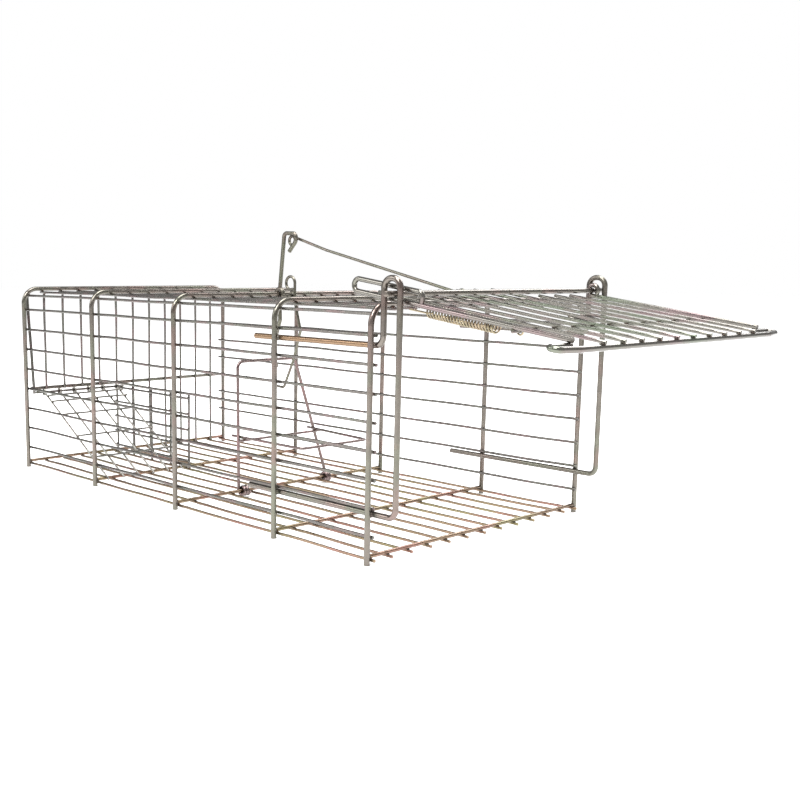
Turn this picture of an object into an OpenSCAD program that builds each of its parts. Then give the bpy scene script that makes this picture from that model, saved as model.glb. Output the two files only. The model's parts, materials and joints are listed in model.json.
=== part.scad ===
// Two-entry live catch trap: a welded wire cage, a sprung drop door held open by a
// rod and trigger lever, a tilting treadle frame, a bait hook and a one-way flap.
// The origin is the foot of the rear hoop on the right-hand side. X runs from the
// rear grille to the door, Y across the cage, and Z up from the surface it stands on.

/* [Cage] */
// Distance from the rear hoop to the front hoop
cage_l = 400; // [385:1:480]
// Distance between the legs of a hoop
cage_w = 210; // [175:1:252]
// Height of the roof over the feet
cage_h = 151.8; // [148:0.1:156]
// Spacing of the four rear hoops
hoop_pitch = 106; // [100:1:112]
// Wire diameter of the hoops
hoop_d = 3.6; // [3.4:0.1:4.4]
// Wire diameter of the cross wires under the hoops
cross_d = 2.6; // [2.2:0.1:3.4]
// Bend radius at the roof corners of a hoop
hoop_r = 12; // [10:1:16]
// Wire diameter of the walls, roof, floor and grilles
mesh_d = 2; // [1.7:0.1:2.2]
// Spacing of the long wires in a side wall
wall_pitch = 16.6; // [16:0.1:17]
// Number of long wires in a side wall
wall_rows = 8; // [7:1:8]
// Number of gaps across the floor and roof
gaps = 12; // [10:1:14]
// How far the long wires run past the rear hoop
stub_rear = 3; // [2.5:0.5:5]
// How far the wall and roof wires run past the front hoop
stub_front = 2.5; // [2.2:0.1:3]
// How far the floor wires run past the front hoop
stub_floor = 4; // [3:0.5:6]

/* [Rear entrance] */
// Number of floor gaps that the entrance is wide
entrance_gaps = 5; // [4:1:6]
// Length of the side wall of the entrance
entrance_l = 112; // [111:1:116]
// Wall wire that the entrance reaches up to, counted from the floor
entrance_row = 4; // [3:1:4]
// Wire diameter of the bar across the rear grille
rear_bar_d = 3; // [2.5:0.1:3.6]
// Wire diameter of the slanted edge of the rear grille
rear_edge_d = 2.5; // [2:0.1:3]
// Spacing of the wires in the side wall of the entrance
side_pitch = 13; // [11:0.5:14]
// Spacing of the posts in the side wall of the entrance
post_pitch = 28; // [24:1:30]

/* [One-way flap] */
// Distance of the flap hinge from the rear hoop
flap_x = 14; // [10:1:20]
// Wire diameter of the flap
flap_d = 1.6; // [1.4:0.1:2]
// Number of long wires in the flap
flap_wires = 6; // [4:1:7]
// Length of the flap from its hinge
flap_l = 114; // [112:1:116]
// Distances of the flap cross wires from the hinge
flap_rows = [7, 15, 33, 61, 88];

/* [Door guides] */
// Wire diameter of the guide frames
guide_d = 3.6; // [3.4:0.1:4.4]
// Distance from the front hoop to the rear leg of a guide
guide_gap = 6.25; // [5:0.25:8]
// Distance between the two legs of a guide
guide_w = 12; // [11.5:0.5:16]
// Height of the upper arm of a guide
guide_arm_top = 127; // [126:0.5:128]
// Height of the lower arm of a guide
guide_arm_low = 30; // [29.5:0.5:31]
// Height of the loop at the top of a guide
guide_top = 166.3; // [165:0.1:175]
// Length of the lower arm of a guide, back from its front leg
guide_reach = 128; // [105:1:140]
// Bend radius of the guides
guide_r = 5.5; // [4:0.1:5.7]

/* [Door] */
// Length of the door from its axle to its front bar
door_l = 121; // [120:0.5:122]
// Length of the door tail behind its axle
tail_l = 29.5; // [26:0.5:34]
// Slope of the door while it is set open
door_tilt = 7.9; // [7:0.1:12]
// Height of the axle while the door is set open
axle_z = 156; // [156:0.1:157]
// Diameter of the door axle
axle_d = 3.5; // [2.9:0.1:4.2]
// How far the axle stands out past the hoop legs
axle_over = 2; // [1:0.5:6]
// Wire diameter of the door stiles
stile_d = 3; // [2.5:0.1:3.2]
// Wire diameter of the door front bar
front_bar_d = 3.5; // [3:0.1:3.6]
// Distance from a hoop leg to the nearer door stile
stile_in = 8; // [7.8:0.1:12]
// Number of long wires in the door
door_wires = 10; // [8:1:12]
// Number of those wires that run back along the tail
tail_wires = 7; // [6:1:7]
// Length of the front bar ears past the stiles
ear_l = 17; // [12:0.5:20]
// Distance between the two sides of an ear
ear_w = 8; // [7:0.5:8]
// How far an ear is swept back at its tip
ear_sweep = 2; // [1:0.5:2]
// Distance of the door cross wire from the axle
door_cross_x = 80; // [74:1:90]
// Distance of the end of the stile slot in front of the axle
slot_front = 18; // [12:1:22]

/* [Door spring] */
// Diameter of the spring wire
spring_wire_d = 1.1; // [0.9:0.1:1.3]
// Outer diameter of the spring
spring_d = 7.6; // [6:0.1:8]
// Distance from the axle to the first turn
spring_x = 19.3; // [16:0.1:24]
// Length of the coiled part
spring_l = 46; // [36:1:48]
// Number of turns
spring_turns = 22; // [16:1:26]

/* [Trigger] */
// Wire diameter of the trigger lever
lever_d = 3; // [2.5:0.1:3.2]
// Wire diameter of the set rod
rod_d = 2; // [1.7:0.1:2.4]
// Height of the rod eye over the roof bar that carries the lever
lever_up = 39; // [32:0.5:44]
// Distance of the rod eye in front of that bar
lever_fore = 10; // [8:0.5:12]
// Drop of the set rod from its rear eye to its knee
rod_knee_drop = 7; // [5:0.5:12]
// Height of the lever lip over the feet
lever_lip_z = 96.5; // [95:0.5:97]

/* [Treadle] */
// Wire diameter of the trip frame
trip_d = 2.5; // [2.1:0.1:3]
// Height of the top bar of the trip frame
trip_z = 101; // [100:0.5:104]
// Distance of the near foot from the right-hand hoop legs
trip_near = 60; // [59:0.5:61]
// Distance of the far foot from the right-hand hoop legs
trip_far = 150; // [149.5:0.5:151]
// Length of the top bar of the trip frame
trip_bar = 56; // [48:1:60]
// Height of the treadle
treadle_z = 45; // [38:1:52]
// Length of the treadle in front of the middle hoop
treadle_fore = 64; // [50:1:76]
// Length of the treadle behind the middle hoop
treadle_aft = 13; // [8:1:16]
// Width of the treadle along its front edge
treadle_w = 64; // [50:1:70]

/* [Bait hook] */
// Wire diameter of the bait hook and its rail
bait_d = 2; // [1.7:0.1:2.4]
// Distance of the bait hook in front of the middle hoop
bait_fore = 20; // [18:0.5:23]
// Outer diameter of its finger ring
finger_d = 11.4; // [10:0.2:14]
// Depth of the bait hook below the roof
bait_drop = 68; // [56:1:76]

/* [Hidden] */
weld = 0.06;          // how far one wire sinks into another at a weld
play = 0.3;           // clearance of an eye round its pin
eye_flare = 0.2;      // an eye's wire is flattened this much wider than its shank
bend_flare = 0.06;    // and so is the wire in a bend
bend_grip = 0.15;     // how far a straight runs into the bend at its end
wire_fn = 24;
bend_fn = 48;

hoop_x = [0, hoop_pitch, 2 * hoop_pitch, 3 * hoop_pitch, cage_l];
middle_x = hoop_x[2];
roof_z = cage_h - hoop_d / 2;
gap_w = cage_w / gaps;
cross_gap = (hoop_d + mesh_d) / 2 - weld;      // hoop centre to the centre of a wire on it
wire_gap = mesh_d - weld;                      // centres of two mesh wires that cross
wall_y = cross_gap;
roof_wire_z = roof_z - cross_gap;
floor_z = 2.96;
floor_bar_z = floor_z + (cross_d + mesh_d) / 2 - weld;
rear_end = -stub_rear;
front_end = cage_l + stub_front;
edge_in = hoop_r - (hoop_r - cross_gap) * sin(45);   // roof-edge wire, in from the corner

entrance_y = entrance_gaps * gap_w;
entrance_z = entrance_row * wall_pitch;
grille_x = cross_gap;
rear_bar_x = grille_x - (rear_bar_d + mesh_d) / 2 + weld;
flap_z = entrance_z - wire_gap;
side_y = entrance_y - wire_gap;
side_top = flap_z - wire_gap;

flap_eye_r = (mesh_d + flap_d + eye_flare) / 2 + play;
flap_room = (cross_d + flap_d) / 2 + 0.5;       // flap wire over the second floor cross wire
flap_run = [hoop_pitch - flap_x, flap_z - floor_bar_z];
flap_slope = atan2(flap_run[1], flap_run[0]) - asin(flap_room / norm(flap_run));
flap_first = 9;
flap_last = entrance_y - 7.5;
flap_step = (flap_last - flap_first) / (flap_wires - 1);

guide_y = (hoop_d + guide_d) / 2 - weld;
guide_x = cage_l + guide_gap;
guide_front = guide_x + guide_w;
guide_arm_l = 110;

axle_x = guide_x + guide_w / 2;
stile_z = axle_d / 2 + play + stile_d / 2;     // stile limb below the axle centre
door_under = -stile_z - stile_d / 2;           // plane that the door cross wires are welded to
door_wire_z = door_under + mesh_d / 2;
door_cross_z = door_under - mesh_d / 2 + weld;
front_bar_z = door_under - front_bar_d / 2 + weld;
door_w = cage_w - 2 * stile_in;
door_gap = door_w / (door_wires + 1);
tail_end = -tail_l - 1.5;
slot_back = -tail_l - 6 + stile_z + stile_d / 2;

spring_r = (spring_d - spring_wire_d) / 2;
spring_y = stile_in + stile_d / 2 + spring_d / 2 + 0.7;
spring_z = -6.6;
spring_steps = 10;                             // rings in one turn of the spring
spring_sides = 6;

tail_point = [axle_x, 0, axle_z] + turned([-tail_l, 0, door_cross_z], door_tilt);
lever_y = cage_w / 2 - 8;
rod_y = lever_y + lever_d / 2 + rod_d / 2 + 0.9;
rod_end = [middle_x + lever_fore, 0, roof_z + lever_up];
rod_front_r = (mesh_d + rod_d + eye_flare) / 2 + play;
rod_rear_r = rod_front_r + 0.8;
lever_eye_r = (hoop_d + lever_d + eye_flare) / 2 + play;

trip_eye_d = trip_d + eye_flare;
trip_eye_r = (cross_d + trip_eye_d) / 2 + play;
trip_turns = 3;
trip_foot_z = floor_bar_z + trip_eye_r;
trip_bar_x = middle_x - 4;
trip_bar_end = trip_near + trip_bar;
trip_gap = (trip_d + mesh_d) / 2 - weld;
treadle_near = trip_near + trip_gap;
treadle_front = middle_x + treadle_fore;
treadle_corner = treadle_near + treadle_w;
treadle_cross_z = treadle_z - wire_gap;

bait_y = 5 * gap_w + 4.5;
bait_z = roof_wire_z + (mesh_d + bait_d) / 2 - weld;
bait_pivot = [middle_x + bait_fore, 0, bait_z];
bait_eye_r = bait_d + eye_flare / 2 + play;
finger_r = (finger_d - bait_d) / 2;
finger_at = bait_pivot + [bait_eye_r - finger_r, 0, bait_eye_r + bait_d + finger_r];

hoop_colour = [0.55, 0.57, 0.50];
mesh_colour = [0.72, 0.66, 0.52];
floor_colour = [0.80, 0.64, 0.48];
door_colour = [0.66, 0.64, 0.56];
spring_colour = [0.76, 0.68, 0.50];
rod_colour = [0.60, 0.60, 0.55];

function unit(v) = v / norm(v);

// A vector turned by an angle about the Y axis
function turned(v, a) = [v[0] * cos(a) + v[2] * sin(a), v[1], v[2] * cos(a) - v[0] * sin(a)];

// The point on the line from a to b that is at height z
function at_height(a, b, z) = a + (b - a) * (z - a[2]) / (b[2] - a[2]);

// Unit direction of a path at its point i
function along(p, i) = unit(p[min(i + 1, len(p) - 1)] - p[max(i - 1, 0)]);

function square_to(n, t) = unit(n - (n * t) * t);

// A sideways vector carried along a path without twisting
function carried(p, n0) = [
    for (i = 0, n = square_to(n0, along(p, 0)); i < len(p);
         i = i + 1, n = square_to(n, along(p, min(i, len(p) - 1)))) n
];

module straight_wire(a, b, d) {
    run = b - a;
    translate(a)
        rotate([0, acos(run[2] / norm(run)), atan2(run[1], run[0])])
            cylinder(d = d, h = norm(run), $fn = wire_fn);
}

// The bend of radius r where a wire turns at b, on its way from a to c
module corner_bend(a, b, c, d, r) {
    u = unit(b - a);
    w = unit(c - b);
    turn = acos(u * w);
    n = unit(cross(u, w));
    m = cross(n, u);
    o = b - u * r * tan(turn / 2) + m * r;
    multmatrix([
        [-m[0], u[0], n[0], o[0]],
        [-m[1], u[1], n[1], o[1]],
        [-m[2], u[2], n[2], o[2]],
        [0, 0, 0, 1]
    ])
        rotate_extrude(angle = turn, $fn = bend_fn)
            translate([r, 0]) circle(d = d + bend_flare, $fn = wire_fn);
}

// How much of a straight the bend at point i of a bent wire takes up
function bend_take(p, i, r) = i == 0 || i == len(p) - 1
    ? 0
    : r * tan(acos(unit(p[i] - p[i - 1]) * unit(p[i + 1] - p[i])) / 2) - bend_grip;

module bent_wire(p, d, r) {
    for (i = [0 : len(p) - 2]) {
        u = unit(p[i + 1] - p[i]);
        straight_wire(p[i] + u * bend_take(p, i, r), p[i + 1] - u * bend_take(p, i + 1, r), d);
    }
    for (i = [1 : len(p) - 2]) corner_bend(p[i - 1], p[i], p[i + 1], d, r);
}

// An arc of wire in an XZ plane, from angle a0 to a1 counted from +X towards +Z
module wire_arc(at, r, a0, a1, d) {
    translate(at) rotate([90, 0, 0]) rotate([0, 0, a0])
        rotate_extrude(angle = a1 - a0, $fn = bend_fn)
            translate([r, 0]) circle(d = d + bend_flare, $fn = wire_fn);
}

// A closed eye in an XZ plane
module eye(at, r, d) {
    translate(at) rotate([90, 0, 0])
        rotate_extrude($fn = bend_fn) translate([r, 0]) circle(d = d, $fn = wire_fn);
}

// A round wire swept along a path of closely spaced points
module swept_wire(p, d, sides, n0) {
    side = carried(p, n0);
    rings = [
        for (i = [0 : len(p) - 1]) let (t = along(p, i), s = side[i], u = cross(t, s))
            for (k = [0 : sides - 1]) p[i] + d / 2 * (s * cos(360 * k / sides) + u * sin(360 * k / sides))
    ];
    last = (len(p) - 1) * sides;
    polyhedron(rings, concat(
        [[for (k = [0 : sides - 1]) k]],
        [[for (k = [sides - 1 : -1 : 0]) last + k]],
        [for (i = [0 : len(p) - 2]) for (k = [0 : sides - 1]) let (j = (k + 1) % sides)
            [i * sides + k, (i + 1) * sides + k, (i + 1) * sides + j]],
        [for (i = [0 : len(p) - 2]) for (k = [0 : sides - 1]) let (j = (k + 1) % sides)
            [i * sides + k, (i + 1) * sides + j, i * sides + j]]
    ));
}

module lengthwise(y, z, x0, x1, d) {
    straight_wire([x0, y, z], [x1, y, z], d);
}

module crosswise(x, z, y0, y1, d) {
    straight_wire([x, y0, z], [x, y1, z], d);
}

// Places its children in the door's own frame: X along the door from the axle, Z up
module on_door() {
    translate([axle_x, 0, axle_z]) rotate([0, door_tilt, 0]) children();
}

module on_flap() {
    translate([flap_x, 0, flap_z]) rotate([0, flap_slope, 0]) children();
}

module hoop(x) {
    color(hoop_colour)
        bent_wire([[x, 0, 0], [x, 0, roof_z], [x, cage_w, roof_z], [x, cage_w, 0]], hoop_d, hoop_r);
}

module rear_hoop() hoop(hoop_x[0]);
module second_hoop() hoop(hoop_x[1]);
module middle_hoop() hoop(hoop_x[2]);
module fourth_hoop() hoop(hoop_x[3]);
module front_hoop() hoop(hoop_x[4]);

module floor_cross_wires() {
    color(floor_colour)
        for (x = hoop_x) crosswise(x, floor_bar_z, hoop_d / 2 - weld, cage_w - hoop_d / 2 + weld, cross_d);
}

module floor_long_wires() {
    color(floor_colour) {
        for (i = [1 : gaps - 1]) lengthwise(i * gap_w, floor_z, rear_end, cage_l + stub_floor, mesh_d);
        for (y = [wall_y, cage_w - wall_y]) lengthwise(y, floor_z, rear_end, cage_l + stub_floor, mesh_d);
    }
}

module wall_wires(y, edge_y) {
    color(mesh_colour) {
        for (k = [1 : wall_rows]) lengthwise(y, k * wall_pitch, rear_end, front_end, mesh_d);
        lengthwise(edge_y, roof_z - edge_in, rear_end, front_end, mesh_d);
    }
}

module right_wall_wires() wall_wires(wall_y, edge_in);
module left_wall_wires() wall_wires(cage_w - wall_y, cage_w - edge_in);

module roof_wires() {
    color(mesh_colour)
        for (i = [1 : gaps - 1]) lengthwise(i * gap_w, roof_wire_z, rear_end, front_end, mesh_d);
}

// The rear grille stops at the bar over the entrance, and runs to the floor beside it
module rear_grille_wires() {
    top = roof_wire_z - mesh_d / 2 + weld;
    color(mesh_colour)
        for (i = [1 : gaps - 1]) {
            foot = i < entrance_gaps ? entrance_z - rear_bar_d / 2 : floor_z + mesh_d / 2 - weld;
            straight_wire([grille_x, i * gap_w, foot], [grille_x, i * gap_w, top], mesh_d);
        }
}

// Reaches from one side wall to the other
module rear_cross_bar() {
    bar_end = wall_y + mesh_d / 2 - weld;
    color(hoop_colour)
        crosswise(rear_bar_x, entrance_z, bar_end, cage_w - bar_end, rear_bar_d);
}

// Leans from the stub of the roof-edge wire to the inner side of the cross bar
module rear_grille_edge() {
    high = [rear_end - rear_edge_d / 2 + weld, edge_in, roof_z - edge_in];
    low = [rear_bar_x + (rear_bar_d + rear_edge_d) / 2 - weld, edge_in, entrance_z];
    color(mesh_colour)
        straight_wire(at_height(high, low, entrance_z - 4.5), at_height(high, low, roof_z - 2), rear_edge_d);
}

module entrance_side_wires() {
    color(mesh_colour)
        for (z = [side_top : -side_pitch : floor_bar_z + (cross_d + mesh_d) / 2])
            lengthwise(side_y, z, 1.5, entrance_l, mesh_d);
}

module entrance_side_posts() {
    foot = floor_z + mesh_d / 2 - weld;
    color(mesh_colour)
        for (x = [post_pitch, 2 * post_pitch, 3 * post_pitch, entrance_l - 2])
            straight_wire([x, entrance_y, foot], [x, entrance_y, side_top + 3], mesh_d);
}

module flap_hinge_rod() {
    color(mesh_colour) crosswise(flap_x, flap_z, wall_y - 1.5, side_y + 1.5, mesh_d);
}

module flap_long_wires() {
    color(rod_colour)
        on_flap()
            for (i = [0 : flap_wires - 1]) {
                y = flap_first + i * flap_step;
                eye([0, y, 0], flap_eye_r, flap_d + eye_flare);
                straight_wire([flap_eye_r, y, 0], [flap_l, y, 0], flap_d);
            }
}

module flap_cross_wires() {
    color(rod_colour)
        on_flap()
            for (x = flap_rows) crosswise(x, flap_d - weld, flap_first - 2, flap_last + 2, flap_d);
}

module guide_frame(y) {
    loop_z = guide_top - guide_d / 2;
    color(hoop_colour)
        bent_wire([
            [guide_x - guide_arm_l, y, guide_arm_top], [guide_x, y, guide_arm_top],
            [guide_x, y, loop_z], [guide_front, y, loop_z],
            [guide_front, y, guide_arm_low], [guide_front - guide_reach, y, guide_arm_low]
        ], guide_d, guide_r);
}

module right_guide_frame() guide_frame(guide_y);
module left_guide_frame() guide_frame(cage_w - guide_y);

module door_axle() {
    color(hoop_colour) crosswise(axle_x, axle_z, -axle_over, cage_w + axle_over, axle_d);
}

// The right-hand stile turns back over the axle and closes a long slot round it
module door_right_stile() {
    end_x = door_l - ear_w + 2;
    color(door_colour)
        on_door() translate([0, stile_in, 0]) {
            straight_wire([slot_back - bend_grip, 0, -stile_z], [end_x, 0, -stile_z], stile_d);
            wire_arc([slot_back, 0, 0], stile_z, 90, 270, stile_d);
            bent_wire([
                [slot_back - bend_grip, 0, stile_z], [slot_front, 0, stile_z],
                [slot_front, 0, -stile_z + stile_d / 2 - 0.4]
            ], stile_d, stile_z * 0.8);
        }
}

// The left-hand stile ends in an open eye round the axle
module door_left_stile() {
    color(door_colour)
        on_door() translate([0, cage_w - stile_in, 0]) {
            straight_wire([-bend_grip, 0, -stile_z], [door_l - ear_w + 2, 0, -stile_z], stile_d);
            wire_arc([0, 0, 0], stile_z, -30, 270, stile_d);
        }
}

module door_long_wires() {
    color(door_colour)
        on_door()
            for (i = [1 : door_wires])
                lengthwise(stile_in + i * door_gap, door_wire_z, i <= tail_wires ? tail_end : -6,
                    door_l + 1.5, mesh_d);
}

module door_cross_wire() {
    color(door_colour)
        on_door() crosswise(door_cross_x, door_cross_z, stile_in - 1, cage_w - stile_in + 1, mesh_d);
}

module door_tail_bar() {
    color(door_colour)
        on_door()
            crosswise(-tail_l, door_cross_z, stile_in + (tail_wires - 3) * door_gap - 2.5,
                stile_in + tail_wires * door_gap + 2.5, mesh_d);
}

// The front bar turns back at each end as an ear that is welded under the stile
module door_front_bar() {
    back = door_l - ear_w;
    tip = stile_in - ear_l;
    under = stile_in + stile_d / 2;
    swept = door_l - ear_sweep;
    color(door_colour)
        on_door()
            bent_wire([
                [back, under, front_bar_z], [back, tip, front_bar_z],
                [swept, tip, front_bar_z], [door_l, stile_in - 3, front_bar_z],
                [door_l, cage_w - stile_in + 3, front_bar_z], [swept, cage_w - tip, front_bar_z],
                [back, cage_w - tip, front_bar_z], [back, cage_w - under, front_bar_z]
            ], front_bar_d, (ear_w - ear_sweep) / 2 - 0.3);
}

// A small wire bridge under the two middle wires of the door
module door_staple() {
    near = stile_in + door_wires / 2 * door_gap;
    color(door_colour)
        on_door()
            bent_wire([
                [54, near, door_cross_z], [66, near + 4, door_cross_z],
                [66, near + door_gap - 4, door_cross_z], [54, near + door_gap, door_cross_z]
            ], mesh_d, 2.5);
}

// A pull spring beside the right-hand stile, hooked over the door cross wire
module door_spring() {
    hook_r = (mesh_d + spring_wire_d) / 2 + play;
    coil = [
        for (i = [0 : spring_turns * spring_steps]) let (a = 360 * i / spring_steps)
            [spring_x + spring_l * i / (spring_turns * spring_steps),
             spring_y + spring_r * cos(a), spring_z + spring_r * sin(a)]
    ];
    hook = [
        for (a = [90 : -30 : -150])
            [door_cross_x + hook_r * cos(a), spring_y, door_cross_z + hook_r * sin(a)]
    ];
    start = coil[0];
    end = coil[len(coil) - 1];
    path = concat(
        [[9, stile_in + 1, spring_z - 0.4], start - [4, 1, 1.6], start - [1.4, 0.1, 1.5],
         start - [0.5, 0, 0.9]],
        coil,
        [end + [0.6, -0.1, 0.9], end + [1.8, -0.8, 1.8], [door_cross_x - 5, spring_y + 0.2, hook[0][2]]],
        hook
    );
    color(spring_colour) on_door() swept_wire(path, spring_wire_d, spring_sides, [0, 0, 1]);
}

// The rod from the door tail to the crook of the trigger lever, with a knee near the crook
module set_rod() {
    front = tail_point + [0, rod_y, 0];
    rear = rod_end + [0, rod_y, 0];
    knee = rear + [36, 0, -rod_knee_drop];
    color(rod_colour) {
        eye(front, rod_front_r, rod_d + eye_flare);
        eye(rear, rod_rear_r, rod_d + eye_flare);
        bent_wire([
            rear + rod_rear_r * [cos(60), 0, sin(60)], knee, front + rod_front_r * unit(knee - front)
        ], rod_d, 40);
    }
}

// Hangs on the middle hoop: a crook over the roof holds the rod, a lip below meets the trip frame
module trigger_lever() {
    pivot = [middle_x, lever_y, roof_z];
    crook = [middle_x + lever_fore, lever_y, roof_z + lever_up];
    foot = [trip_bar_x - (trip_d + lever_d) / 2 - 0.6, lever_y, lever_lip_z];
    color(rod_colour) {
        eye(pivot, lever_eye_r, lever_d + eye_flare);
        bent_wire([
            pivot + [0.3, 0, lever_eye_r], crook + [-5, 0, 5.4], crook + [7.8, 0, 5],
            crook + [7.2, 0, -1], crook + [0.6, 0, -7.8]
        ], lever_d, 2.9);
        bent_wire([
            pivot - [0, 0, lever_eye_r], pivot + [0.6, 0, -19.5], foot + [0, 0, 12.5],
            foot, foot + [4.7, 0, -0.6]
        ], lever_d, 2.8);
    }
}

// An arch that stands on the middle floor cross wire and turns about it on its wound feet
module trip_frame() {
    path = [
        [middle_x, trip_near, trip_foot_z], [trip_bar_x, trip_near, trip_z],
        [trip_bar_x, trip_bar_end, trip_z], [middle_x, trip_far, trip_foot_z]
    ];
    turn_pitch = trip_eye_d - weld;
    color(mesh_colour) {
        bent_wire(path, trip_d, 5);
        for (k = [0 : trip_turns - 1]) {
            eye([middle_x, trip_near + k * turn_pitch, floor_bar_z], trip_eye_r, trip_eye_d);
            eye([middle_x, trip_far - k * turn_pitch, floor_bar_z], trip_eye_r, trip_eye_d);
        }
    }
}

// Points of the trip frame's legs at the treadle's height
function near_leg(z) =
    at_height([middle_x, trip_near, trip_foot_z], [trip_bar_x, trip_near, trip_z], z);
function far_leg(z) =
    at_height([middle_x, trip_far, trip_foot_z], [trip_bar_x, trip_bar_end, trip_z], z);

module treadle_edge_wire() {
    corner = [treadle_front, treadle_corner, treadle_z];
    lean = atan2(trip_far - trip_bar_end, trip_z - trip_foot_z);
    touch = far_leg(treadle_z) - [0, trip_gap / cos(lean), 0];
    back = middle_x - treadle_aft;
    far_end = corner + (touch - corner) * (corner[0] - back - 4) / (corner[0] - touch[0]);
    color(mesh_colour)
        bent_wire([
            [back, treadle_near, treadle_z], [treadle_front, treadle_near, treadle_z], corner, far_end
        ], mesh_d, 4);
}

module treadle_cross_wire() {
    x = near_leg(treadle_cross_z)[0] + trip_gap;
    color(mesh_colour)
        crosswise(x, treadle_cross_z, trip_near - 1.5, far_leg(treadle_cross_z)[1] + 2, mesh_d);
}

module bait_hook_rail() {
    color(hoop_colour) crosswise(bait_pivot[0], bait_z, bait_y - 9, bait_y + 4, bait_d);
}

// The stem runs down the front of its eye from an open finger ring to the bait point
module bait_hook() {
    stem = finger_at + [finger_r, 0, bend_grip];
    shoulder = bait_pivot + [bait_eye_r, 0, -4];
    knee = bait_pivot + [9, 0, -25];
    tip = bait_pivot + [-9, 0, -bait_drop];
    color(rod_colour)
        translate([0, bait_y, 0]) {
            eye(bait_pivot, bait_eye_r, bait_d + eye_flare);
            wire_arc(finger_at, finger_r, 0, 300, bait_d);
            bent_wire([
                stem, shoulder, knee, knee + [-8, 0, -23], tip,
                tip + [-9.5, 0, 0.5], tip + [-11.5, 0, 6]
            ], bait_d, 3);
        }
}

rear_hoop();
second_hoop();
middle_hoop();
fourth_hoop();
front_hoop();
floor_cross_wires();
floor_long_wires();
right_wall_wires();
left_wall_wires();
roof_wires();
rear_grille_wires();
rear_cross_bar();
rear_grille_edge();
entrance_side_wires();
entrance_side_posts();
flap_hinge_rod();
flap_long_wires();
flap_cross_wires();
right_guide_frame();
left_guide_frame();
door_axle();
door_right_stile();
door_left_stile();
door_long_wires();
door_cross_wire();
door_tail_bar();
door_front_bar();
door_staple();
door_spring();
set_rod();
trigger_lever();
trip_frame();
treadle_edge_wire();
treadle_cross_wire();
bait_hook_rail();
bait_hook();
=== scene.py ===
import bpy
import json
import math
import numpy as np
from mathutils import Matrix, Vector
from mathutils.bvhtree import BVHTree

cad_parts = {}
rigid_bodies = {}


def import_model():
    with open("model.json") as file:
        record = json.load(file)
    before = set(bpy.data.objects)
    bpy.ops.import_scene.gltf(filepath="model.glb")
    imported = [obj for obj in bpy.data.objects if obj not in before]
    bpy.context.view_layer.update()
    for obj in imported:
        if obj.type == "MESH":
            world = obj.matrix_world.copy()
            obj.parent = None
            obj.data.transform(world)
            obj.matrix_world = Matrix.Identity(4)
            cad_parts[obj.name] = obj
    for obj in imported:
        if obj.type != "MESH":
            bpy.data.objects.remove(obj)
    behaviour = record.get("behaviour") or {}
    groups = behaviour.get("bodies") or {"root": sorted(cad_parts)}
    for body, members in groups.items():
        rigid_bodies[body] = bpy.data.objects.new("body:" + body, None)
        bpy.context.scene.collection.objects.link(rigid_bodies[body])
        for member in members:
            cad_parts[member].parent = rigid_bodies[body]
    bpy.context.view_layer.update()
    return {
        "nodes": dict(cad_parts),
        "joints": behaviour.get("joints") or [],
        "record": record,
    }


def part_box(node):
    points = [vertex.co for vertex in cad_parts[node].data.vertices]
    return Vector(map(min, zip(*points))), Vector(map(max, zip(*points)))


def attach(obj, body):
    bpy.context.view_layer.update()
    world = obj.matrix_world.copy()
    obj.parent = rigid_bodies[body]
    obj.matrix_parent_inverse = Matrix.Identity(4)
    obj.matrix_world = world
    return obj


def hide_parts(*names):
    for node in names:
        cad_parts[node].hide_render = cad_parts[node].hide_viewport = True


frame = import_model()
nodes = frame["nodes"]
joints = {joint["name"]: joint for joint in frame["joints"]}
bodies = frame["record"]["behaviour"]["bodies"]
bodyOf = {node: body for body, members in bodies.items() for node in members}
bpy.ops.object.select_all(action="DESELECT")
print("frame loaded")

mm = 0.001

# ---- camera ----
view = {
    "place": (0.8131, -0.4302, 0.1706),
    "turn": 47.6,        # degrees from +Y towards -X
    "dip": 8.76,         # degrees below level
    "roll": 0.475,
    "lens": 47.87,
    "shift": (0.125, 0.0375),
}


def makeCamera():
    bpy.ops.object.camera_add(location=view["place"])
    camera = bpy.context.object
    turned = Matrix.Rotation(math.radians(view["turn"]), 4, "Z")
    tipped = Matrix.Rotation(math.radians(90 - view["dip"]), 4, "X")
    rolled = Matrix.Rotation(math.radians(view["roll"]), 4, "Z")
    camera.matrix_world = Matrix.Translation(view["place"]) @ turned @ tipped @ rolled
    camera.data.lens = view["lens"]
    camera.data.sensor_width = 36
    camera.data.shift_x, camera.data.shift_y = view["shift"]
    camera.data.clip_start = 0.01
    bpy.context.scene.camera = camera


makeCamera()
print("camera set")


# ---- shader groups shared by the plated wires ----
def newGroup(name, inputs, outputs):
    group = bpy.data.node_groups.new(name, "ShaderNodeTree")
    for label, kind, value in inputs:
        socket = group.interface.new_socket(name=label, in_out="INPUT", socket_type=kind)
        socket.default_value = value
    for label, kind in outputs:
        group.interface.new_socket(name=label, in_out="OUTPUT", socket_type=kind)
    return group, group.nodes.new("NodeGroupInput"), group.nodes.new("NodeGroupOutput")


def noiseNode(tree, vector, scale, detail, roughness=0.5):
    noise = tree.nodes.new("ShaderNodeTexNoise")
    noise.inputs["Detail"].default_value = detail
    noise.inputs["Roughness"].default_value = roughness
    tree.links.new(vector, noise.inputs["Vector"])
    if isinstance(scale, (int, float)):
        noise.inputs["Scale"].default_value = scale
    else:
        tree.links.new(scale, noise.inputs["Scale"])
    return noise.outputs["Fac"]


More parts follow.
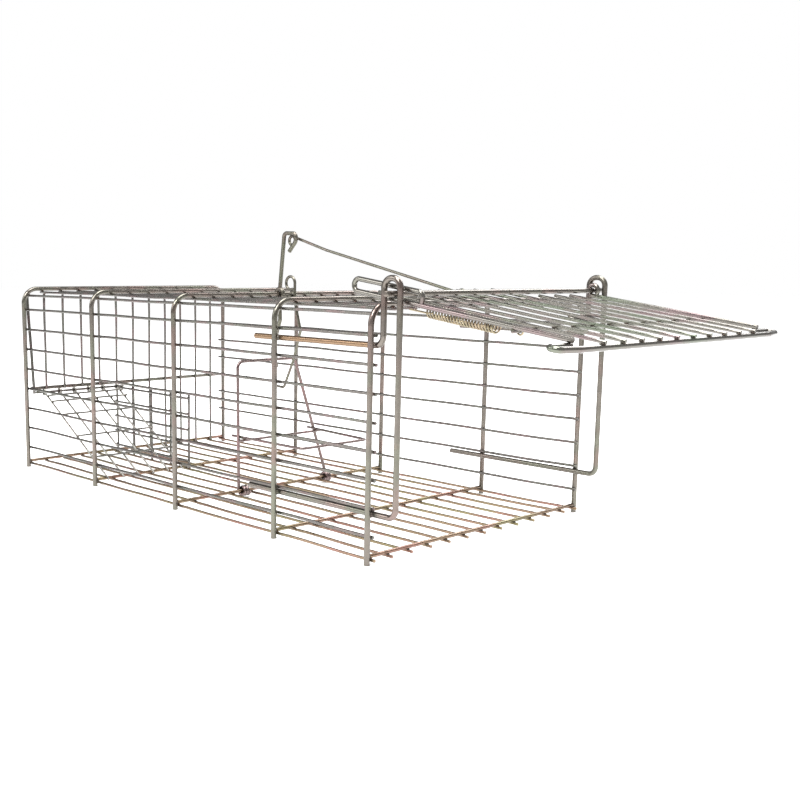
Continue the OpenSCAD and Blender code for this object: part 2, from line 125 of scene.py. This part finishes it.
def rangeNode(tree, value, low, high, toLow=0.0, toHigh=1.0):
    mapped = tree.nodes.new("ShaderNodeMapRange")
    mapped.interpolation_type = "SMOOTHSTEP"
    tree.links.new(value, mapped.inputs["Value"])
    mapped.inputs["From Min"].default_value = low
    mapped.inputs["From Max"].default_value = high
    mapped.inputs["To Min"].default_value = toLow
    mapped.inputs["To Max"].default_value = toHigh
    return mapped.outputs["Result"]


def mathNode(tree, operation, first, second):
    node = tree.nodes.new("ShaderNodeMath")
    node.operation = operation
    for socket, value in zip(node.inputs, (first, second)):
        if isinstance(value, (int, float)):
            socket.default_value = value
        else:
            tree.links.new(value, socket)
    return node.outputs["Value"]


def mixNode(tree, factor, first, second):
    mix = tree.nodes.new("ShaderNodeMix")
    mix.data_type = "RGBA"
    tree.links.new(factor, mix.inputs["Factor"])
    for name, value in (("A", first), ("B", second)):
        socket = [s for s in mix.inputs if s.name == name and s.type == "RGBA"][0]
        tree.links.new(value, socket)
    return [s for s in mix.outputs if s.type == "RGBA"][0]


# Passivated zinc: a base colour that drifts into two tints along the wire, with dull patches
def makePlatingGroup():
    group, source, result = newGroup(
        "passivation",
        [("Base", "NodeSocketColor", (0.4, 0.4, 0.35, 1)),
         ("Cool Tint", "NodeSocketColor", (0.4, 0.45, 0.35, 1)),
         ("Warm Tint", "NodeSocketColor", (0.6, 0.4, 0.35, 1)), ("Patch Scale", "NodeSocketFloat", 30.0),
         ("Drift", "NodeSocketFloat", 1.0)],
        [("Color", "NodeSocketColor"), ("Dullness", "NodeSocketFloat")])
    place = group.nodes.new("ShaderNodeTexCoord").outputs["Object"]
    patch = source.outputs["Patch Scale"]
    cool = rangeNode(group, noiseNode(group, place, patch, 3), 0.42, 0.66)
    finer = mathNode(group, "MULTIPLY", patch, 1.7)
    warm = rangeNode(group, noiseNode(group, place, finer, 2), 0.48, 0.68)
    cool = mathNode(group, "MULTIPLY", cool, source.outputs["Drift"])
    warm = mathNode(group, "MULTIPLY", warm, source.outputs["Drift"])
    tinted = mixNode(group, cool, source.outputs["Base"], source.outputs["Cool Tint"])
    tinted = mixNode(group, warm, tinted, source.outputs["Warm Tint"])
    speck = rangeNode(group, noiseNode(group, place, 900.0, 2), 0.56, 0.70, 0.0, 0.35)
    dark = group.nodes.new("ShaderNodeRGB")
    dark.outputs[0].default_value = (0.12, 0.10, 0.08, 1)
    group.links.new(mixNode(group, speck, tinted, dark.outputs[0]), result.inputs["Color"])
    group.links.new(rangeNode(group, noiseNode(group, place, 120.0, 3), 0.3, 0.7), result.inputs["Dullness"])
    return group


# Fine plating grain and die marks for the bump
def makeGrainGroup():
    group, source, result = newGroup(
        "platingGrain",
        [("Grain Scale", "NodeSocketFloat", 2500.0), ("Dents", "NodeSocketFloat", 0.3)],
        [("Height", "NodeSocketFloat")])
    place = group.nodes.new("ShaderNodeTexCoord").outputs["Object"]
    fine = noiseNode(group, place, source.outputs["Grain Scale"], 4, 0.6)
    dents = mathNode(group, "MULTIPLY", noiseNode(group, place, 350.0, 2), source.outputs["Dents"])
    group.links.new(mathNode(group, "ADD", fine, dents), result.inputs["Height"])
    return group


passivation = makePlatingGroup()
platingGrain = makeGrainGroup()

finishes = {
    "frame_wire": {
        "base": (0.150, 0.134, 0.118),
        "cool": (0.138, 0.144, 0.112),
        "warm": (0.185, 0.136, 0.122),
        "patch": 26, "rough": (0.20, 0.34), "drift": 0.8,
    },
    "wall_wire": {
        "base": (0.129, 0.12, 0.112),
        "cool": (0.129, 0.136, 0.112),
        "warm": (0.172, 0.12, 0.12),
        "patch": 40, "rough": (0.22, 0.36), "drift": 0.7,
    },
    "floor_wire": {
        "base": (0.232, 0.163, 0.112),
        "cool": (0.215, 0.194, 0.107),
        "warm": (0.258, 0.142, 0.116),
        "patch": 18, "rough": (0.20, 0.34), "drift": 0.9,
    },
    "door_wire": {
        "base": (0.158, 0.150, 0.134),
        "cool": (0.142, 0.165, 0.124),
        "warm": (0.195, 0.140, 0.146),
        "patch": 22, "rough": (0.16, 0.28), "drift": 0.8,
    },
    "spring_wire": {
        "base": (0.258, 0.215, 0.142),
        "cool": (0.245, 0.228, 0.142),
        "warm": (0.267, 0.189, 0.142),
        "patch": 60, "rough": (0.22, 0.34), "drift": 0.6,
    },
    "flap_wire": {
        "base": (0.211, 0.202, 0.185),
        "cool": (0.202, 0.211, 0.185),
        "warm": (0.224, 0.194, 0.176),
        "patch": 40, "rough": (0.12, 0.22), "drift": 0.5,
    },
    "trigger_wire": {
        "base": (0.135, 0.126, 0.105),
        "cool": (0.128, 0.134, 0.098),
        "warm": (0.155, 0.122, 0.108),
        "patch": 35, "rough": (0.20, 0.34), "drift": 0.8,
    },
    "trip_wire": {
        "base": (0.176, 0.133, 0.129),
        "cool": (0.163, 0.146, 0.129),
        "warm": (0.215, 0.133, 0.133),
        "patch": 30, "rough": (0.20, 0.34), "drift": 0.8,
    },
    "weld": {
        "base": (0.0774, 0.0654, 0.0568),
        "cool": (0.0903, 0.0903, 0.0688),
        "warm": (0.103, 0.0645, 0.0516),
        "patch": 90, "rough": (0.36, 0.55), "drift": 1.0,
    },
}


# Painted shade: the wire's colour is darkened towards its edge, where it is seen aslant, standing in for the
# dark surroundings reflected at each wire's outline
paintedEdgeShade = {"span": (0.30, 0.85), "depth": 0.75}


def tintNode(tree, tint):
    colour = tree.nodes.new("ShaderNodeRGB")
    colour.outputs[0].default_value = (*tint, 1)
    return colour.outputs[0]


# One arm of a guide frame took a browner bath than the rest of it
def armMask(tree, front, height):
    parts = tree.nodes.new("ShaderNodeSeparateXYZ")
    tree.links.new(tree.nodes.new("ShaderNodeTexCoord").outputs["Object"], parts.inputs["Vector"])
    behind = rangeNode(tree, parts.outputs["X"], front - 0.006, front, 0.85, 0.0)
    above = rangeNode(tree, parts.outputs["Z"], height, height + 0.002)
    return mathNode(tree, "MULTIPLY", behind, above)


def makeMaterial(name, finish):
    material = bpy.data.materials.new(name)
    material.use_nodes = True
    tree = material.node_tree
    shader = tree.nodes["Principled BSDF"]
    shader.inputs["Metallic"].default_value = 0.92
    plating = tree.nodes.new("ShaderNodeGroup")
    plating.node_tree = passivation
    for socket, key in (("Base", "base"), ("Cool Tint", "cool"), ("Warm Tint", "warm")):
        plating.inputs[socket].default_value = (*finish[key], 1)
    plating.inputs["Patch Scale"].default_value = finish["patch"]
    plating.inputs["Drift"].default_value = finish["drift"]
    # Painted shade: the Facing mask mixes the plating colour towards the near-black rim colour at each
    # wire's outline
    edge = tree.nodes.new("ShaderNodeLayerWeight")
    edge.inputs["Blend"].default_value = 0.5
    rim = tree.nodes.new("ShaderNodeRGB")
    rim.outputs[0].default_value = (0.03, 0.026, 0.022, 1)
    paintedEdgeShadeMask = rangeNode(tree, edge.outputs["Facing"], *paintedEdgeShade["span"], 0.0, paintedEdgeShade["depth"])
    colour = mixNode(tree, paintedEdgeShadeMask, plating.outputs["Color"], rim.outputs[0])
    if "arm" in finish:
        arm = finish["arm"]
        colour = mixNode(tree, armMask(tree, *arm["from"]), colour, tintNode(tree, arm["tint"]))
    tree.links.new(colour, shader.inputs["Base Color"])
    low, high = finish["rough"]
    tree.links.new(rangeNode(tree, plating.outputs["Dullness"], 0, 1, low, high), shader.inputs["Roughness"])
    grain = tree.nodes.new("ShaderNodeGroup")
    grain.node_tree = platingGrain
    bump = tree.nodes.new("ShaderNodeBump")
    bump.inputs["Strength"].default_value = 0.25
    bump.inputs["Distance"].default_value = 0.00008
    tree.links.new(grain.outputs["Height"], bump.inputs["Height"])
    tree.links.new(bump.outputs["Normal"], shader.inputs["Normal"])
    return material


materials = {name: makeMaterial(name + "_plated", finish) for name, finish in finishes.items()}
slotOf = {part["node"]: part["material_slot"] for part in frame["record"]["subparts"]}
finishOf = {"trip_frame": "trip_wire", "treadle_edge_wire": "trip_wire", "treadle_cross_wire": "trip_wire"}
for name, node in nodes.items():
    node.data.materials.clear()
    node.data.materials.append(materials[finishOf.get(name, slotOf[name])])
brownArm = {**finishes["frame_wire"], "arm": {"from": (0.404, 0.120), "tint": (0.20, 0.125, 0.07)}}
nodes["right_guide_frame"].data.materials[0] = makeMaterial("brown_arm_plated", brownArm)
print("materials made")


# ---- straight wires, read from the frame ----
endDepth = 0.02 * mm     # points this close to the end of a wire lie on its end face


# The straight wires of a node as (end, end, radius), one for each of its separate solids
def wireRuns(name):
    mesh = nodes[name].data
    spots = np.array([v.co for v in mesh.vertices], float)
    keys = [tuple(k) for k in np.round(spots, 6)]
    numbers = {}
    index = [numbers.setdefault(k, len(numbers)) for k in keys]
    owner = list(range(len(numbers)))

    def root(i):
        while owner[i] != i:
            owner[i] = owner[owner[i]]
            i = owner[i]
        return i

    for face in mesh.polygons:
        corners = [root(index[v]) for v in face.vertices]
        for corner in corners[1:]:
            owner[root(corner)] = root(corners[0])
    solids = {}
    for spot, i in numbers.items():
        solids.setdefault(root(i), []).append(spot)
    runs = []
    for solid in solids.values():
        points = np.array(solid)
        middle = points.mean(0)
        axis = np.linalg.svd(points - middle, full_matrices=False)[2][0]
        along = (points - middle) @ axis
        near = points[along < along.min() + endDepth].mean(0)
        far = points[along > along.max() - endDepth].mean(0)
        axis = (far - near) / np.linalg.norm(far - near)
        offset = (points - near) - np.outer((points - near) @ axis, axis)
        radius = float(np.linalg.norm(offset, axis=1).max())
        runs.append((Vector(near), Vector(far), radius))
    return sorted(runs, key=lambda run: (run[0].y, run[0].z, run[0].x))


def joinPieces(pieces, name):
    bpy.ops.object.select_all(action="DESELECT")
    for piece in pieces:
        piece.select_set(True)
    bpy.context.view_layer.objects.active = pieces[0]
    if len(pieces) > 1:
        bpy.ops.object.join()
    joined = bpy.context.object
    bpy.ops.object.transform_apply(location=True, rotation=True, scale=True)
    joined.name = name
    bpy.ops.object.select_all(action="DESELECT")
    return joined


def applyModifier(piece, kind, **settings):
    bpy.context.view_layer.objects.active = piece
    modifier = piece.modifiers.new(kind.title(), kind)
    for key, value in settings.items():
        setattr(modifier, key, value)
    bpy.ops.object.modifier_apply(modifier=modifier.name)


waviness = {"strength": 0.9 * mm, "scale": 0.055, "trim": 0.15 * mm}
cutEnd = {"chamfer": 0.22, "segments": 2}     # the chamfer is a share of the radius


# One wire: a cylinder cut into short lengths, with its ends chamfered as a cutter leaves them
def straightWire(start, end, radius, sides=14, step=9 * mm):
    trim = (end - start).normalized() * waviness["trim"]
    start, end = start + trim, end - trim
    run = end - start
    bpy.ops.mesh.primitive_cylinder_add(
        vertices=sides, radius=radius, depth=run.length, location=(start + end) / 2,
        rotation=run.to_track_quat("Z", "Y").to_euler())
    wire = bpy.context.object
    mesh = wire.data
    bpy.context.tool_settings.mesh_select_mode = (False, True, False)
    bpy.ops.object.mode_set(mode="EDIT")
    bpy.ops.mesh.select_all(action="DESELECT")
    bpy.ops.object.mode_set(mode="OBJECT")
    for edge in mesh.edges:
        a, b = (mesh.vertices[i].co.z for i in edge.vertices)
        edge.select = abs(a - b) < 1e-6
    bpy.ops.object.mode_set(mode="EDIT")
    bpy.ops.mesh.bevel(offset=radius * cutEnd["chamfer"], segments=cutEnd["segments"])
    bpy.ops.mesh.select_all(action="DESELECT")
    bpy.ops.object.mode_set(mode="OBJECT")
    for edge in mesh.edges:
        a, b = (mesh.vertices[i].co.z for i in edge.vertices)
        edge.select = abs(a - b) > run.length * 0.8
    cuts = int(run.length / step)
    if cuts > 0:
        bpy.ops.object.mode_set(mode="EDIT")
        bpy.ops.mesh.subdivide(number_cuts=cuts)
        bpy.ops.mesh.select_all(action="DESELECT")
        bpy.ops.object.mode_set(mode="OBJECT")
    return wire


wander = bpy.data.textures.new("wander", "CLOUDS")
wander.noise_scale = waviness["scale"]
wander.cloud_type = "COLOR"
wander.noise_depth = 0


def finishPiece(piece, body, slot, material, *replaced):
    bpy.context.view_layer.objects.active = piece
    piece.select_set(True)
    bpy.ops.object.shade_smooth_by_angle(angle=math.radians(40))
    bpy.ops.object.select_all(action="DESELECT")
    piece.data.materials.clear()
    piece.data.materials.append(materials[material])
    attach(piece, body)
    if replaced:
        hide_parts(*replaced)
    return piece


# Drawn wire is never dead straight, so each set wanders a fraction of a millimetre
def drawnWires(name, node, share=1.0):
    wires = [straightWire(*run) for run in runsOf[node]]
    piece = joinPieces(wires, name)
    applyModifier(piece, "DISPLACE", texture=wander, texture_coords="LOCAL", direction="RGB_TO_XYZ",
                  mid_level=0.5, strength=waviness["strength"] * share)
    return finishPiece(piece, bodyOf[node], slotOf[node], finishOf.get(node, slotOf[node]), node)


straightNodes = {
    "floorWires": ("floor_long_wires", 1.0), "rightWallWires": ("right_wall_wires", 1.0),
    "leftWallWires": ("left_wall_wires", 1.0), "roofWires": ("roof_wires", 1.0),
    "rearGrilleWires": ("rear_grille_wires", 1.2), "rearGrilleEdge": ("rear_grille_edge", 0.8),
    "entranceSideWires": ("entrance_side_wires", 1.0), "entranceSidePosts": ("entrance_side_posts", 0.8),
    "doorLongWires": ("door_long_wires", 0.7), "doorCrossWire": ("door_cross_wire", 0.5),
    "doorTailBar": ("door_tail_bar", 0.3), "floorCrossWires": ("floor_cross_wires", 0.4),
    "rearCrossBar": ("rear_cross_bar", 0.4), "flapCrossWires": ("flap_cross_wires", 0.6),
    "treadleCrossWire": ("treadle_cross_wire", 0.4), "flapHingeRod": ("flap_hinge_rod", 0.2),
    "baitHookRail": ("bait_hook_rail", 0.1), "doorAxle": ("door_axle", 0.2),
}
runsOf = {node: wireRuns(node) for node, share in straightNodes.values()}
for name, (node, share) in straightNodes.items():
    drawnWires(name, node, share)
print("straight wires drawn")


# ---- bent and coiled wires ----
straightTurn = 0.02     # a turn under this many radians needs no bend


# A path whose corners are rounded to radius r, as a list of close points
def roundedPath(points, r, steps=8):
    path = [Vector(points[0])]
    for before, corner, after in zip(points, points[1:], points[2:]):
        before, corner, after = Vector(before), Vector(corner), Vector(after)
        inward, outward = (corner - before).normalized(), (after - corner).normalized()
        turn = inward.angle(outward)
        if turn < straightTurn:
            path.append(corner)
            continue
        take = r * math.tan(turn / 2)
        start = corner - inward * take
        side = (outward - inward * inward.dot(outward)).normalized()
        for k in range(steps + 1):
            a = turn * k / steps
            path.append(start + inward * r * math.sin(a) + side * r * (1 - math.cos(a)))
    path.append(Vector(points[-1]))
    return path


# Turns of wire about the line through centre along axis, from the direction start
def helixPath(centre, axis, start, radius, turns, pitch, perTurn=20):
    axis, start = Vector(axis).normalized(), Vector(start).normalized()
    side = axis.cross(start)
    count = int(abs(turns) * perTurn)
    path = []
    for k in range(count + 1):
        a = 2 * math.pi * turns * k / count
        path.append(Vector(centre) + (start * math.cos(a) + side * math.sin(a)) * radius
                    + axis * (pitch * abs(turns) * k / count))
    return path


def pathWire(path, radius, name, roundness=3):
    bpy.ops.curve.primitive_nurbs_path_add()
    wire = bpy.context.object
    wire.location = (0, 0, 0)
    wire.data.splines.clear()
    spline = wire.data.splines.new("POLY")
    spline.points.add(len(path) - 1)
    for point, spot in zip(spline.points, path):
        point.co = (*spot, 1)
    wire.data.dimensions = "3D"
    wire.data.bevel_depth = radius
    wire.data.bevel_resolution = roundness
    wire.data.use_fill_caps = True
    bpy.ops.object.convert(target="MESH")
    wire = bpy.context.object
    wire.name = name
    bpy.ops.object.mode_set(mode="EDIT")
    bpy.ops.mesh.select_all(action="SELECT")
    bpy.ops.mesh.remove_doubles(threshold=0.00001)
    bpy.ops.mesh.normals_make_consistent(inside=False)
    bpy.ops.object.mode_set(mode="OBJECT")
    return wire


spring = {
    "start": 19.3 * mm, "length": 46 * mm, "turns": 22, "radius": 3.25 * mm, "wire": 0.55 * mm,
    "side": 14.0 * mm, "below": -6.6 * mm, "hookAt": (80 * mm, -5.99 * mm), "hookRadius": 1.85 * mm,
    "legEnd": (9 * mm, 9 * mm, -7 * mm),
    "leadIn": ((-4, -1, -1.6), (-1.4, -0.1, -1.5), (-0.5, 0, -0.9)),     # mm from the coil's start
    "leadOut": ((0.6, -0.1, 0.9), (1.8, -0.8, 1.8)),                     # mm from the coil's end
    "beforeHook": (-5, 0.2, 0),
}
door = {"tilt": 7.9}


# The door's own frame: X along the door from its axle, Z up from it
def doorFrame():
    axle = joints["door_hinge"]["pos_m"]
    return Matrix.Translation((axle[0], 0, axle[2])) @ Matrix.Rotation(math.radians(door["tilt"]), 4, "Y")


def makeSpring():
    low = (spring["start"], spring["side"], spring["below"])
    coil = helixPath(low, (1, 0, 0), (0, 1, 0), spring["radius"], spring["turns"],
                     spring["length"] / spring["turns"], 18)
    hookX, hookZ = spring["hookAt"]
    hook = []
    for degrees in range(90, -170, -15):
        a = math.radians(degrees)
        hook.append(Vector((hookX + spring["hookRadius"] * math.cos(a), spring["side"],
                            hookZ + spring["hookRadius"] * math.sin(a))))
    lead = [Vector(spring["legEnd"])] + [coil[0] + Vector(step) * mm for step in spring["leadIn"]]
    tail = [coil[-1] + Vector(step) * mm for step in spring["leadOut"]]
    tail.append(hook[0] + Vector(spring["beforeHook"]) * mm)
    piece = pathWire(lead + coil + tail + hook, spring["wire"], "doorSpring", 2)
    piece.matrix_world = doorFrame()
    piece = joinPieces([piece], "doorSpring")
    return finishPiece(piece, "door", "spring_wire", "spring_wire", "door_spring")


makeSpring()

tripFrame = {
    "wire": 1.25 * mm, "eye": 2.9 * mm, "turns": 2.5, "near": 60 * mm, "far": 150 * mm,
    "topLength": 56 * mm, "lean": 4 * mm, "corner": 5 * mm, "pitch": 2.06,     # the pitch is in wire radii
}


# An arch of one wire whose two feet are wound round the middle floor cross wire
def makeTripFrame():
    low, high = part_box("trip_frame")
    pivot = joints["trip_tilt"]["pos_m"]
    size = tripFrame
    top = high.z - size["wire"]
    barX = pivot[0] - size["lean"]
    pitch = size["wire"] * size["pitch"]
    nearFoot = helixPath((pivot[0], size["near"], pivot[2]), (0, 1, 0), (-1, 0, 0), size["eye"],
                         -size["turns"], pitch)
    farFoot = helixPath((pivot[0], size["far"], pivot[2]), (0, -1, 0), (-1, 0, 0), size["eye"],
                        size["turns"], pitch)
    arch = roundedPath([
        nearFoot[0], (barX, size["near"], top), (barX, size["near"] + size["topLength"], top), farFoot[0]
    ], size["corner"])
    piece = pathWire(nearFoot[::-1] + arch[1:-1] + farFoot, size["wire"], "tripFrame")
    piece = joinPieces([piece], "tripFrame")
    return finishPiece(piece, "trip_frame", "wall_wire", "trip_wire", "trip_frame")


makeTripFrame()
print("spring and trip frame wound")

# ---- welds ----
weldShape = {
    "swell": 1.22, "flat": 0.8, "long": 1.15, "lumps": 0.4, "lumpSize": (1.12, 0.93, 1.08),
    "near": 1.6 * mm, "walk": 0.4 * mm, "reach": 0.04 * mm,
}
guideArm = {"top": 127 * mm, "radius": 1.8 * mm, "corner": 20 * mm}
treadleSide = {"radius": 1 * mm, "corner": 6 * mm}


# Guide arms and treadle sides, which cross other wires as the straight sets do
def sideRuns():
    found = {}
    for name in ("right_guide_frame", "left_guide_frame"):
        low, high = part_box(name)
        y = (low.y + high.y) / 2
        r = guideArm["radius"]
        end = high.x - guideArm["corner"]
        found[name] = [(Vector((low.x, y, z)), Vector((end, y, z)), r) for z in (low.z + r, guideArm["top"])]
    low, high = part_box("treadle_edge_wire")
    r = treadleSide["radius"]
    y, z = low.y + r, high.z - r
    end = high.x - treadleSide["corner"]
    found["treadle_edge_wire"] = [(Vector((low.x, y, z)), Vector((end, y, z)), r)]
    return found


# Finds where the wires of a body touch, by walking along each straight one
def weldSpots(body):
    members = [node for node in nodes if bodyOf[node] == body and node != "door_spring"]
    straight = {**runsOf, **sideRuns()}
    runs = {node: straight[node] for node in straight if bodyOf[node] == body}
    spots = []
    for node, wires in runs.items():
        others = [n for n in members if n != node]
        if not others:
            continue
        points, faces = [], []
        for other in others:
            base = len(points)
            points += [v.co.copy() for v in nodes[other].data.vertices]
            faces += [[base + i for i in face.vertices] for face in nodes[other].data.polygons]
        tree = BVHTree.FromPolygons(points, faces)
        for start, end, radius in wires:
            count = max(2, int((end - start).length / weldShape["walk"]))
            best = None
            for k in range(count + 1):
                here = start.lerp(end, k / count)
                hit, normal, face, distance = tree.find_nearest(here, radius + weldShape["reach"])
                if hit is not None and (best is None or distance < best[0]):
                    best = (distance, hit, radius, (end - start).normalized())
                if best and (hit is None or k == count):
                    if all((best[1] - s[0]).length > weldShape["near"] for s in spots):
                        spots.append(best[1:])
                    best = None
    return spots


# A weld nugget: a small ball pressed flat and drawn out along the wire it sits on
def makeWelds(name, body, slot):
    spots = weldSpots(body)
    bpy.ops.mesh.primitive_ico_sphere_add(subdivisions=2, radius=1)
    model = bpy.context.object
    bpy.context.tool_settings.mesh_select_mode = (True, False, False)
    bpy.ops.object.mode_set(mode="EDIT")
    bpy.ops.transform.resize(value=(1.0, weldShape["flat"], weldShape["flat"]))
    bpy.ops.mesh.select_random(ratio=weldShape["lumps"], seed=7)
    bpy.ops.transform.resize(value=weldShape["lumpSize"])
    bpy.ops.object.mode_set(mode="OBJECT")
    copies = []
    for spot, radius, along in spots:
        nugget = model.copy()
        nugget.data = model.data.copy()
        bpy.context.collection.objects.link(nugget)
        size = radius * weldShape["swell"]
        turn = along.to_track_quat("X", "Z").to_matrix().to_4x4()
        scaled = Matrix.Diagonal((size * weldShape["long"], size, size, 1))
        nugget.matrix_world = Matrix.Translation(spot) @ turn @ scaled
        copies.append(nugget)
    bpy.data.objects.remove(model)
    piece = joinPieces(copies, name)
    print(name, len(spots), "welds")
    return finishPiece(piece, body, slot, "weld")


makeWelds("cageWelds", "root", "frame_wire")
makeWelds("doorWelds", "door", "door_wire")
makeWelds("flapWelds", "flap", "flap_wire")
makeWelds("treadleWelds", "trip_frame", "wall_wire")
print("welds placed")


# ---- floor and light ----
studio = {
    "floor": (0.95, 0.95, 0.95), "glow": 0.42, "dome": 0.6, "aim": (0.25, 0.1, 0.08),
    "key": {"place": (0.5, -1.0, 1.5), "size": 0.7, "power": 34},
    "fill": {"place": (-0.8, -1.2, 1.0), "size": 0.8, "power": 12},
    "rim": {"place": (0.2, 1.5, 1.2), "size": 0.9, "power": 24},
    "top": {"place": (0.35, 0.15, 1.7), "size": 0.9, "power": 34},
}


def makeFloor():
    bpy.ops.mesh.primitive_plane_add(size=14, location=(0.2, 0.1, -0.02 * mm))
    floor = bpy.context.object
    floor.name = "floor"
    material = bpy.data.materials.new("paleFloor")
    material.use_nodes = True
    shader = material.node_tree.nodes["Principled BSDF"]
    shader.inputs["Base Color"].default_value = (*studio["floor"], 1)
    shader.inputs["Roughness"].default_value = 0.7
    shader.inputs["Emission Color"].default_value = (1, 1, 1, 1)
    shader.inputs["Emission Strength"].default_value = studio["glow"]
    floor.data.materials.append(material)


def makeLights():
    target = Vector(studio["aim"])
    for name in ("key", "fill", "rim", "top"):
        lamp = studio[name]
        bpy.ops.object.light_add(type="AREA", location=lamp["place"])
        light = bpy.context.object
        light.name = name + "Light"
        light.data.size = lamp["size"]
        light.data.energy = lamp["power"]
        light.rotation_euler = (target - Vector(lamp["place"])).to_track_quat("-Z", "Y").to_euler()


# A plain white backdrop, with softer light from it on the wires than the camera sees
def makeWorld():
    world = bpy.data.worlds.new("studio")
    world.use_nodes = True
    tree = world.node_tree
    seen = tree.nodes["Background"]
    seen.inputs["Color"].default_value = (1, 1, 1, 1)
    seen.inputs["Strength"].default_value = 1.0
    dome = tree.nodes.new("ShaderNodeBackground")
    dome.inputs["Strength"].default_value = studio["dome"]
    dome.inputs["Color"].default_value = (1, 1, 1, 1)
    mix = tree.nodes.new("ShaderNodeMixShader")
    tree.links.new(tree.nodes.new("ShaderNodeLightPath").outputs["Is Camera Ray"], mix.inputs[0])
    tree.links.new(dome.outputs[0], mix.inputs[1])
    tree.links.new(seen.outputs[0], mix.inputs[2])
    tree.links.new(mix.outputs[0], tree.nodes["World Output"].inputs["Surface"])
    bpy.context.scene.world = world
    bpy.context.scene.view_settings.view_transform = "Standard"


makeFloor()
makeLights()
makeWorld()
print("stage set")
